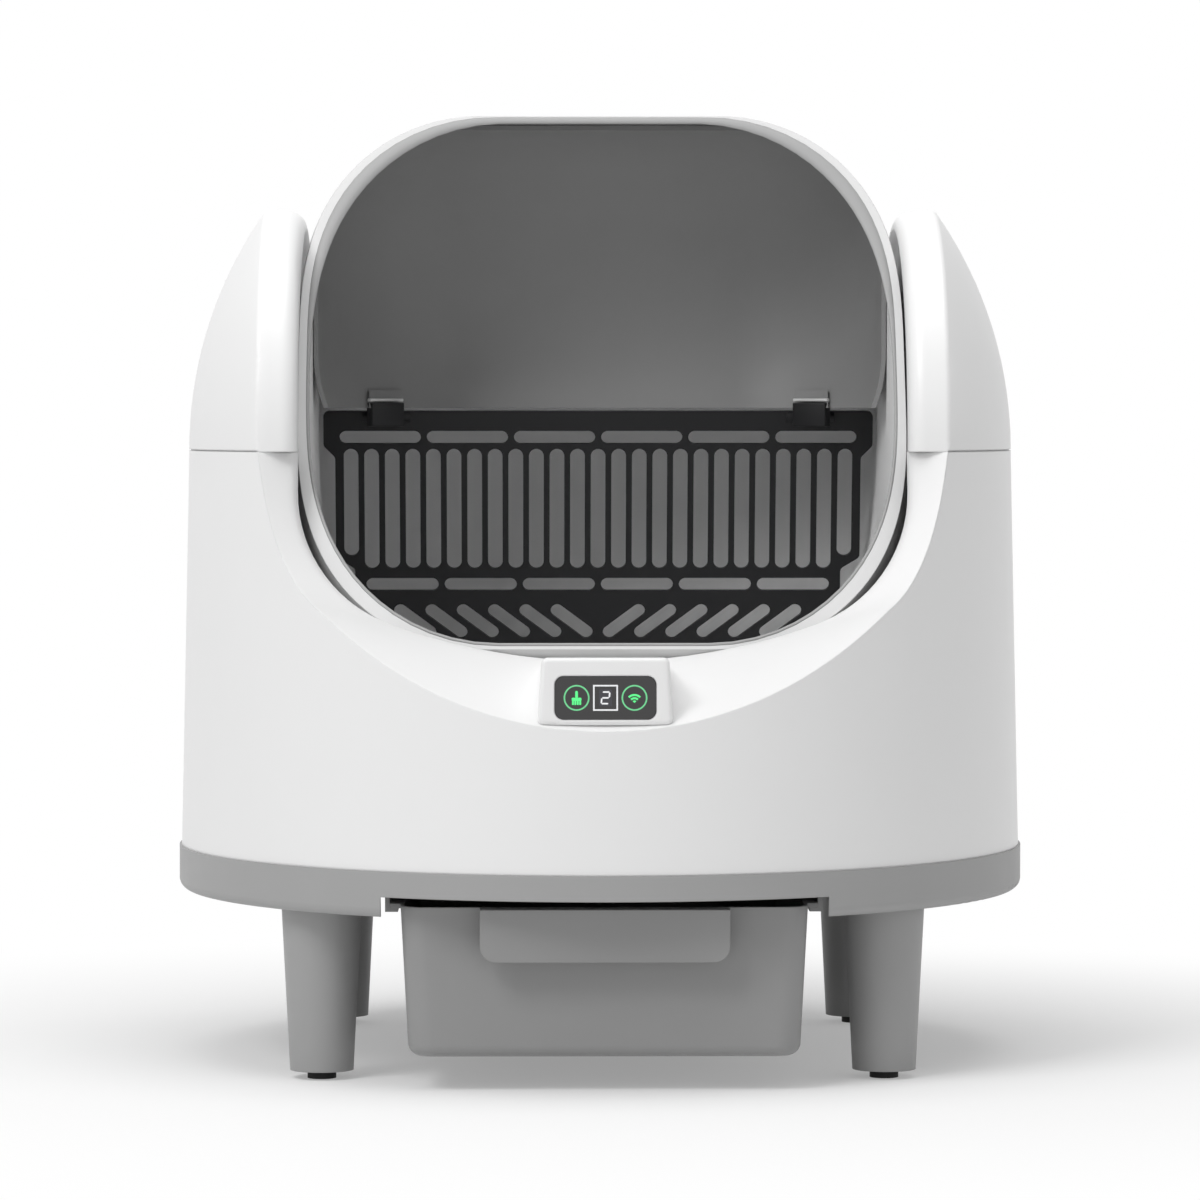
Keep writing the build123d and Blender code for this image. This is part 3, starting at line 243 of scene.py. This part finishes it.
class Bench:
    """The few steps of the modelling bench that every piece shares."""

    @staticmethod
    def clear() -> None:
        """Leave edit mode and select nothing."""
        if bpy.context.object and bpy.context.object.mode != "OBJECT":
            bpy.ops.object.mode_set(mode="OBJECT")
        bpy.ops.object.select_all(action="DESELECT")

    @staticmethod
    def edit(piece: bpy.types.Object) -> None:
        """Open a piece in edit mode with all of it selected.

        Args:
            piece: The piece to open.
        """
        Bench.clear()
        piece.select_set(True)
        bpy.context.view_layer.objects.active = piece
        bpy.ops.object.mode_set(mode="EDIT")
        bpy.ops.mesh.select_all(action="SELECT")

    @staticmethod
    def apply(piece: bpy.types.Object) -> None:
        """Apply all the modifiers of a piece.

        Args:
            piece: The piece to finish.
        """
        Bench.clear()
        piece.select_set(True)
        bpy.context.view_layer.objects.active = piece
        for modifier in list(piece.modifiers):
            bpy.ops.object.modifier_apply(modifier=modifier.name)

    @staticmethod
    def join(pieces: list[bpy.types.Object]) -> bpy.types.Object:
        """Join several pieces into the first.

        Args:
            pieces: The pieces, all of which end up in one.

        Returns:
            The joined piece.
        """
        Bench.clear()
        for piece in pieces:
            piece.select_set(True)
        bpy.context.view_layer.objects.active = pieces[0]
        bpy.ops.object.join()
        return pieces[0]

    @staticmethod
    def settle(piece: bpy.types.Object, name: str, place: Matrix, finish: Finish, slot: str, body: str,
               smooth_deg: float = 30.0) -> bpy.types.Object:
        """Put a piece's place into its mesh, shade and dress it, and let it ride a body.

        Args:
            piece: The modelled piece, in its own frame.
            name: The piece's name.
            place: Where the piece's own frame stands.
            finish: Its surface.
            slot: The record's material slot that the finish belongs to; not used.
            body: The body that carries it.
            smooth_deg: Edges flatter than this are shaded smooth.

        Returns:
            The same piece.
        """
        Bench.clear()
        piece.name = name
        piece.data.name = name
        piece.data.transform(place @ piece.matrix_world)
        piece.matrix_world = Matrix.Identity(4)
        piece.select_set(True)
        bpy.context.view_layer.objects.active = piece
        bpy.ops.object.shade_smooth_by_angle(angle=radians(smooth_deg))
        piece.data.materials.clear()
        piece.data.materials.append(finish.material())
        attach(piece, body)
        log.info("%s rides on %s", name, body)
        return piece


class EdgeShading:
    """Live smoothing for the frame's own nodes, whose meshes stay as they are."""

    WELD = 0.005 * MM
    SHARP_DEG = 28.0

    def __init__(self) -> None:
        """Build the node group that welds corners and shades shallow edges smooth."""
        tree = bpy.data.node_groups.new("moulded_edges", "GeometryNodeTree")
        tree.interface.new_socket("Geometry", in_out="INPUT", socket_type="NodeSocketGeometry")
        tree.interface.new_socket("Geometry", in_out="OUTPUT", socket_type="NodeSocketGeometry")
        nodes, links = tree.nodes, tree.links
        start = nodes.new("NodeGroupInput")
        weld = nodes.new("GeometryNodeMergeByDistance")
        weld.inputs["Distance"].default_value = self.WELD
        faces = nodes.new("GeometryNodeSetShadeSmooth")
        edges = nodes.new("GeometryNodeSetShadeSmooth")
        edges.domain = "EDGE"
        angle = nodes.new("GeometryNodeInputMeshEdgeAngle")
        shallow = nodes.new("FunctionNodeCompare")
        shallow.operation = "LESS_THAN"
        shallow.inputs["B"].default_value = radians(self.SHARP_DEG)
        end = nodes.new("NodeGroupOutput")
        links.new(start.outputs[0], weld.inputs["Geometry"])
        links.new(weld.outputs["Geometry"], faces.inputs["Geometry"])
        links.new(faces.outputs["Geometry"], edges.inputs["Geometry"])
        links.new(angle.outputs["Unsigned Angle"], shallow.inputs["A"])
        links.new(shallow.outputs["Result"], edges.inputs["Shade Smooth"])
        links.new(edges.outputs["Geometry"], end.inputs[0])
        self.tree = tree

    def add(self, node: bpy.types.Object) -> None:
        """Shade one node of the frame.

        Args:
            node: The node's object.
        """
        modifier = node.modifiers.new("moulded_edges", "NODES")
        modifier.node_group = self.tree


@dataclass
class ControlPanel:
    """Graphics behind the touch glass: a brush key, a readout with one figure, and a signal key."""

    face_y: float = -270.0 * MM
    face_top: float = 274.0 * MM
    lean: float = radians(4.0)
    glass_down: float = 25.0 * MM
    key_x: float = 17.9 * MM
    key_r: float = 8.0 * MM
    stroke: float = 0.95 * MM
    print_t: float = 0.12 * MM
    readout: tuple[float, float] = (15.4 * MM, 16.0 * MM)
    window: tuple[float, float] = (8.0 * MM, 10.6 * MM)
    figure: tuple[float, float] = (4.6 * MM, 7.2 * MM)
    figure_slant: float = radians(6.0)
    segment_w: float = 1.0 * MM
    segment_gap: float = 0.25 * MM
    segment_point: float = 0.48
    fan_down: float = 3.2 * MM
    fan_arcs: tuple[float, float] = (5.6 * MM, 3.6 * MM)
    fan_stroke: float = 1.25 * MM
    fan_point: tuple[float, float] = (1.6 * MM, 1.5 * MM)
    window_corner: float = 0.8 * MM
    handle: tuple[float, float] = (1.7 * MM, 4.4 * MM)
    handle_up: float = 2.1 * MM
    handle_corner: float = 0.8 * MM
    head: tuple[float, float] = (6.0 * MM, 2.0 * MM)
    head_down: float = 0.9 * MM
    head_corner: float = 0.5 * MM
    bristle: tuple[float, float] = (1.2 * MM, 2.6 * MM)
    bristle_pitch: float = 1.5 * MM
    bristle_down: float = 3.1 * MM
    bristle_corner: float = 0.3 * MM
    bristle_count: int = 4
    facets: int = 72

    def place(self, x: float = 0.0, y: float = 0.0, lift: float = 0.0) -> Matrix:
        """Give the frame of a graphic on the glass.

        Args:
            x: To the right of the glass's middle.
            y: Above the glass's middle.
            lift: In front of the glass.

        Returns:
            The matrix that stands a flat graphic on the glass.
        """
        top = Matrix.Translation((0, self.face_y, self.face_top))
        stand = Matrix.Rotation(pi / 2 - self.lean, 4, "X")
        return top @ stand @ Matrix.Translation((x, y - self.glass_down, lift))

    def build(self) -> None:
        """Model both keys and the readout."""
        slot = "panel_glass"
        for side, name in ((-1, "brush_key_ring"), (1, "signal_key_ring")):
            ring = self._ring(self.key_r, self.stroke)
            Bench.settle(ring, name, self.place(side * self.key_x), Finishes.RING_GREEN, slot, "base")
        Bench.settle(self._brush(), "brush_key_icon", self.place(-self.key_x), Finishes.ICON_GREEN, slot,
                     "base")
        fan_place = self.place(self.key_x, -self.fan_down)
        for index, radius in enumerate(self.fan_arcs):
            arc = self._fan(radius, self.fan_stroke)
            Bench.settle(arc, f"signal_key_arc_{index + 1}", fan_place, Finishes.ICON_GREEN, slot, "base")
        Bench.settle(self._fan(*self.fan_point), "signal_key_point", fan_place, Finishes.ICON_GREEN, slot,
                     "base")
        Bench.settle(self._square(), "readout_frame", self.place(), Finishes.READOUT_WHITE, slot, "base")
        Bench.settle(self._window(), "readout_window", self.place(), Finishes.READOUT_DARK, slot, "base")
        lift = self.place(lift=self.print_t / 2)
        Bench.settle(self._figure_two(), "readout_figure", lift, Finishes.READOUT_WHITE, slot, "base")

    def _thicken(self, piece: bpy.types.Object) -> bpy.types.Object:
        """Give a flat print its thickness, standing on the glass.

        Args:
            piece: A flat mesh facing up its own Z.

        Returns:
            The same piece, closed.
        """
        wall = piece.modifiers.new("print", "SOLIDIFY")
        wall.thickness = self.print_t
        wall.offset = 1.0
        Bench.apply(piece)
        return piece

    def _hoop(self, radius: float, stroke: float) -> bpy.types.Object:
        """Start a flat ring, left open in edit mode.

        Args:
            radius: Its outer radius.
            stroke: Its width.

        Returns:
            The ring, about its own Z and without thickness.
        """
        Bench.clear()
        bpy.ops.mesh.primitive_circle_add(vertices=self.facets, radius=radius, fill_type="NGON")
        hoop = bpy.context.object
        Bench.edit(hoop)
        bpy.ops.mesh.inset(thickness=stroke)
        bpy.ops.mesh.delete(type="FACE")
        return hoop

    def _ring(self, radius: float, stroke: float) -> bpy.types.Object:
        """Model a flat ring.

        Args:
            radius: Its outer radius.
            stroke: Its width.

        Returns:
            The ring, about its own Z.
        """
        ring = self._hoop(radius, stroke)
        Bench.clear()
        return self._thicken(ring)

    def _fan(self, radius: float, stroke: float) -> bpy.types.Object:
        """Model a quarter arc that opens upwards.

        Args:
            radius: Its outer radius.
            stroke: Its width.

        Returns:
            The arc, about its own Z.
        """
        arc = self._hoop(radius, stroke)
        for side in (-1, 1):
            bpy.ops.mesh.select_all(action="SELECT")
            bpy.ops.mesh.bisect(plane_co=(0, 0, 0), plane_no=(side * cos(pi / 4), -sin(pi / 4), 0),
                                clear_outer=True)
        Bench.clear()
        return self._thicken(arc)

    def _plate(self, width: float, height: float, x: float = 0.0, y: float = 0.0) -> bpy.types.Object:
        """Add a flat plate.

        Args:
            width: Along X.
            height: Along Y.
            x: Its middle.
            y: Its middle.

        Returns:
            The plate, with its size in its mesh.
        """
        Bench.clear()
        bpy.ops.mesh.primitive_plane_add(size=1.0)
        plate = bpy.context.object
        plate.data.transform(Matrix.Translation((x, y, 0)) @ Matrix.Diagonal((width, height, 1, 1)))
        return plate

    def _rounded(self, plate: bpy.types.Object, corner: float, segments: int) -> bpy.types.Object:
        """Round the corners of a flat plate.

        Args:
            plate: The plate.
            corner: How far the rounding reaches along each side.
            segments: Steps round each corner.

        Returns:
            The same plate.
        """
        Bench.edit(plate)
        bpy.ops.mesh.bevel(offset=corner, segments=segments, affect="VERTICES")
        Bench.clear()
        return plate

    def _square(self) -> bpy.types.Object:
        """Model the readout's square frame.

        Returns:
            The frame.
        """
        square = self._plate(*self.readout)
        Bench.edit(square)
        bpy.ops.mesh.inset(thickness=self.stroke)
        bpy.ops.mesh.delete(type="FACE")
        Bench.clear()
        return self._thicken(square)

    def _window(self) -> bpy.types.Object:
        """Model the smoked window behind the figure, with rounded corners.

        Returns:
            The window.
        """
        window = self._rounded(self._plate(*self.window), self.window_corner, 4)
        window.data.transform(Matrix.Translation((0, 0, -self.print_t / 2)))
        return self._thicken(window)

    def _figure_two(self) -> bpy.types.Object:
        """Model a segment figure 2 from five bars with pointed ends.

        Returns:
            The joined figure.
        """
        width, height = self.figure
        half = height / 2
        lying, standing = width - self.segment_gap, half - self.segment_gap
        bars = [
            (0, half, lying, 0), (width / 2, half / 2, standing, 1), (0, 0, lying, 0),
            (-width / 2, -half / 2, standing, 1), (0, -half, lying, 0),
        ]
        made = []
        for x, y, length, upright in bars:
            bar = self._rounded(self._plate(length, self.segment_w), self.segment_point * self.segment_w, 1)
            turn = Matrix.Rotation(upright * pi / 2, 4, "Z")
            bar.data.transform(Matrix.Translation((x, y, 0)) @ turn)
            made.append(bar)
        figure = Bench.join(made)
        slant = Matrix.Identity(4)
        slant[0][1] = sin(self.figure_slant)
        figure.data.transform(slant)
        return self._thicken(figure)

    def _brush(self) -> bpy.types.Object:
        """Model the brush: a round ended handle over a head with four bristles.

        Returns:
            The joined brush.
        """
        handle = self._rounded(self._plate(*self.handle, 0, self.handle_up), self.handle_corner, 5)
        head = self._rounded(self._plate(*self.head, 0, -self.head_down), self.head_corner, 3)
        made = [handle, head]
        for index in range(self.bristle_count):
            x = (index - (self.bristle_count - 1) / 2) * self.bristle_pitch
            bristle = self._plate(*self.bristle, x, -self.bristle_down)
            made.append(self._rounded(bristle, self.bristle_corner, 2))
        return self._thicken(Bench.join(made))


@dataclass
class MouthShadeBead:
    """Grey bead along the drum rim's inner edge, widest at its upper corners: painted shade where the rounded
    edge turns away from the light.
    """

    axle_z: float = 400.0 * MM
    lean: float = radians(27.9)
    distance: float = 103.8 * MM
    radius: float = 219.0 * MM
    half: float = 191.0 * MM
    shoulder: float = 124.0 * MM
    bead_r: float = 5.0 * MM
    thin: float = 0.22
    flatness: float = 0.35
    steps: int = 24
    smooth_deg: float = 60.0

    def build(self) -> None:
        """Model the bead of painted shade and let it ride the drum."""
        Bench.clear()
        path = self._path()
        bpy.ops.mesh.primitive_circle_add(vertices=len(path), radius=self.half)
        bead = bpy.context.object
        for vertex, spot in zip(bead.data.vertices, path):
            vertex.co = spot
        bpy.ops.object.convert(target="CURVE")
        bead.data.bevel_depth = self.bead_r
        bead.data.bevel_resolution = 3
        for point in bead.data.splines[0].points:
            point.radius = self._width(point.co.x, point.co.y)
        bpy.ops.object.convert(target="MESH")
        Bench.edit(bead)
        bpy.ops.mesh.normals_make_consistent(inside=False)
        Bench.clear()
        stand = Matrix.Translation((0, 0, self.axle_z)) @ Matrix.Rotation(pi / 2 - self.lean, 4, "X")
        place = stand @ Matrix.Translation((0, 0, self.distance)) @ Matrix.Diagonal((1, 1, self.flatness, 1))
        # base_grey serves here as painted shade on the rim's inner edge, not as a grey part of the drum.
        Bench.settle(bead, "mouth_painted_shade_bead", place, Finishes.BY_SLOT["base_grey"], "base_grey", "drum",
                     self.smooth_deg)

    def _width(self, x: float, y: float) -> float:
        """Give the bead's share of its full radius at a place round the mouth, which sets how wide the
        painted shade is.

        Args:
            x: To the right of the mouth's middle.
            y: Up the mouth from its middle.

        Returns:
            The share, 1 at the upper corners.
        """
        corner = 2 * abs(x) * max(y, 0.0) / (x * x + y * y)
        return self.thin + (1 - self.thin) * corner * corner

    def _path(self) -> list[Point]:
        """Trace where the rim's inner roll meets the plane of the mouth.

        Returns:
            Points round the mouth, on its own plane.
        """
        flat, end = self.half - self.shoulder, self.radius - self.shoulder
        limit = acos((self.distance - end) / self.shoulder)
        quarter = []
        for step in range(self.steps + 1):
            turn = limit * (1 - (1 - step / self.steps) ** 2)
            reach = end + self.shoulder * cos(turn)
            rise = sqrt(max(reach ** 2 - self.distance ** 2, 0.0))
            quarter.append((flat + self.shoulder * sin(turn), rise))
        right = quarter + [(x, -y) for x, y in reversed(quarter[:-1])]
        return [(x, y, 0.0) for x, y in right + [(-x, -y) for x, y in right]]


@dataclass
class ClipTrim:
    """Light ledge and black tab on the face of each of the grille's clips."""

    ledge_middle: Point = (145.0 * MM, 83.2 * MM, 433.4 * MM)
    ledge_turn: float = radians(40.7)
    ledge: Point = (29.0 * MM, 3.6 * MM, 2.1 * MM)
    tab_middle: Point = (145.0 * MM, 80.2 * MM, 423.4 * MM)
    tab_turn: float = radians(31.0)
    tab: Point = (25.0 * MM, 8.0 * MM, 16.0 * MM)
    edge: float = 0.5 * MM

    def build(self) -> None:
        """Model the trim of both clips."""
        for side, name in ((-1, "left"), (1, "right")):
            ledge = self._place(self.ledge_middle, self.ledge_turn, side)
            # The ledge takes the drum's white, greyed as painted shade.
            Bench.settle(self._strip(self.ledge), f"clip_ledge_{name}", ledge,
                         Finishes.BY_SLOT["drum_white"], "drum_white", "drum")
            tab = self._place(self.tab_middle, self.tab_turn, side)
            Bench.settle(self._strip(self.tab), f"clip_tab_{name}", tab,
                         Finishes.BY_SLOT["sieve_black"], "sieve_black", "drum")

    @staticmethod
    def _place(middle: Point, turn: float, side: int) -> Matrix:
        """Give the frame of a strip that follows the hood's curve.

        Args:
            middle: The right strip's middle.
            turn: How far the strip turns from straight across.
            side: 1 on the right and -1 on the left.

        Returns:
            The strip's place.
        """
        x, y, z = middle
        return Matrix.Translation((side * x, y, z)) @ Matrix.Rotation(-side * turn, 4, "Z")

    def _strip(self, size: Point) -> bpy.types.Object:
        """Model a strip with rounded edges.

        Args:
            size: Its length, depth and height.

        Returns:
            The strip, about its own middle.
        """
        Bench.clear()
        bpy.ops.mesh.primitive_cube_add(size=1.0)
        strip = bpy.context.object
        strip.data.transform(Matrix.Diagonal((*size, 1)))
        Bench.edit(strip)
        bpy.ops.mesh.bevel(offset=self.edge, segments=3)
        Bench.clear()
        return strip


@dataclass
class Studio:
    """Camera at the photograph's angle, soft lamps, and a white floor that keeps the shadow."""

    eye: Point = (-0.046, -3.66, 0.429)
    target: Point = (0.0, 0.0, 0.300)
    lens_mm: float = 164.7
    clip_end: float = 100.0
    lamp_target: Point = (0.0, 0.0, 0.3)
    floor_size: float = 14.0
    floor_colour: Colour = (0.92, 0.92, 0.92)
    floor_roughness: float = 0.9
    floor_specular: float = 0.1
    clear_near: float = 0.30
    clear_far: float = 0.80
    shadow_lift: float = 0.30
    sky: float = 0.35
    lamps: dict[str, tuple[Point, float, float]] = field(default_factory=lambda: {
        "key": ((-1.9, -2.2, 3.0), 1.5, 58.0),
        "overhead": ((0.0, -0.5, 2.8), 2.0, 34.0),
        "right_edge": ((2.9, 0.9, 1.2), 1.2, 3.0),
    })

    def build(self) -> None:
        """Set up the camera, the lamps, the world and the floor."""
        self._camera()
        for name, (spot, size, watts) in self.lamps.items():
            self._lamp(name, spot, size, watts)
        self._world()
        self._floor()
        bpy.context.scene.view_settings.view_transform = "Standard"

    def _aim(self, thing: bpy.types.Object, spot: Point, target: Point) -> None:
        """Stand a lamp or camera at a spot and point it at a target.

        Args:
            thing: The lamp or camera.
            spot: Where it stands.
            target: What it looks at.
        """
        thing.location = spot
        thing.rotation_euler = (Vector(target) - Vector(spot)).to_track_quat("-Z", "Y").to_euler()

    def _camera(self) -> None:
        """Add the camera."""
        lens = bpy.data.cameras.new("studio_camera")
        lens.lens = self.lens_mm
        lens.clip_end = self.clip_end
        camera = bpy.data.objects.new("studio_camera", lens)
        bpy.context.scene.collection.objects.link(camera)
        self._aim(camera, self.eye, self.target)
        bpy.context.scene.camera = camera

    def _lamp(self, name: str, spot: Point, size: float, watts: float) -> None:
        """Add one square soft lamp.

        Args:
            name: The lamp's name.
            spot: Where it stands.
            size: Its side.
            watts: Its power.
        """
        light = bpy.data.lights.new(name, "AREA")
        light.size = size
        light.energy = watts
        lamp = bpy.data.objects.new(name, light)
        bpy.context.scene.collection.objects.link(lamp)
        self._aim(lamp, spot, self.lamp_target)

    def _seen(self, nodes: bpy.types.Nodes, links: bpy.types.NodeLinks) -> bpy.types.NodeSocket:
        """Add a factor that is 1 for camera, glossy and transmission rays.

        Args:
            nodes: The tree's nodes.
            links: The tree's links.

        Returns:
            The factor.
        """
        path = nodes.new("ShaderNodeLightPath")
        first = nodes.new("ShaderNodeMath")
        second = nodes.new("ShaderNodeMath")
        first.operation = second.operation = "MAXIMUM"
        links.new(path.outputs["Is Camera Ray"], first.inputs[0])
        links.new(path.outputs["Is Glossy Ray"], first.inputs[1])
        links.new(first.outputs[0], second.inputs[0])
        links.new(path.outputs["Is Transmission Ray"], second.inputs[1])
        return second.outputs[0]

    def _world(self) -> None:
        """Light evenly from all round, and show plain white."""
        world = bpy.data.worlds.new("studio_world")
        bpy.context.scene.world = world
        world.use_nodes = True
        nodes, links = world.node_tree.nodes, world.node_tree.links
        nodes.clear()
        light = nodes.new("ShaderNodeBackground")
        light.inputs["Strength"].default_value = self.sky
        white = nodes.new("ShaderNodeBackground")
        white.inputs["Color"].default_value = light.inputs["Color"].default_value = (1, 1, 1, 1)
        mix = nodes.new("ShaderNodeMixShader")
        out = nodes.new("ShaderNodeOutputWorld")
        links.new(self._seen(nodes, links), mix.inputs["Fac"])
        links.new(light.outputs[0], mix.inputs[1])
        links.new(white.outputs[0], mix.inputs[2])
        links.new(mix.outputs[0], out.inputs["Surface"])

    def _floor(self) -> None:
        """Add the floor, which turns plain white away from the object's shadow."""
        Bench.clear()
        bpy.ops.mesh.primitive_plane_add(size=self.floor_size)
        floor = bpy.context.object
        floor.name = "studio_floor"
        made = bpy.data.materials.new("studio_floor")
        made.use_nodes = True
        nodes, links = made.node_tree.nodes, made.node_tree.links
        shader = nodes["Principled BSDF"]
        shader.inputs["Base Color"].default_value = (*self.floor_colour, 1)
        shader.inputs["Roughness"].default_value = self.floor_roughness
        shader.inputs["Specular IOR Level"].default_value = self.floor_specular
        place = nodes.new("ShaderNodeTexCoord").outputs["Object"]
        length = nodes.new("ShaderNodeVectorMath")
        length.operation = "LENGTH"
        links.new(place, length.inputs[0])
        far = nodes.new("ShaderNodeMapRange")
        far.interpolation_type = "SMOOTHSTEP"
        far.inputs["From Min"].default_value = self.clear_near
        far.inputs["From Max"].default_value = self.clear_far
        far.inputs["To Min"].default_value = self.shadow_lift
        links.new(length.outputs["Value"], far.inputs["Value"])
        both = nodes.new("ShaderNodeMath")
        both.operation = "MULTIPLY"
        links.new(far.outputs["Result"], both.inputs[0])
        links.new(self._seen(nodes, links), both.inputs[1])
        white = nodes.new("ShaderNodeEmission")
        mix = nodes.new("ShaderNodeMixShader")
        links.new(both.outputs[0], mix.inputs["Fac"])
        links.new(shader.outputs[0], mix.inputs[1])
        links.new(white.outputs[0], mix.inputs[2])
        links.new(mix.outputs[0], nodes["Material Output"].inputs["Surface"])
        floor.data.materials.append(made)


def dress_nodes() -> None:
    """Give every node of the frame its slot's finish and soft shading."""
    shading = EdgeShading()
    slot_of = {part["node"]: part["material_slot"] for part in frame["record"]["subparts"]}
    for name, node in frame["nodes"].items():
        node.data.materials.clear()
        node.data.materials.append(Finishes.BY_SLOT[slot_of[name]].material())
        shading.add(node)


def main() -> None:
    """Dress the frame, build the added pieces and set up the studio."""
    logging.basicConfig(level=logging.INFO, format="%(message)s")
    Bench.clear()
    dress_nodes()
    ControlPanel().build()
    MouthShadeBead().build()
    ClipTrim().build()
    Studio().build()


if __name__ == "__main__":
    main()
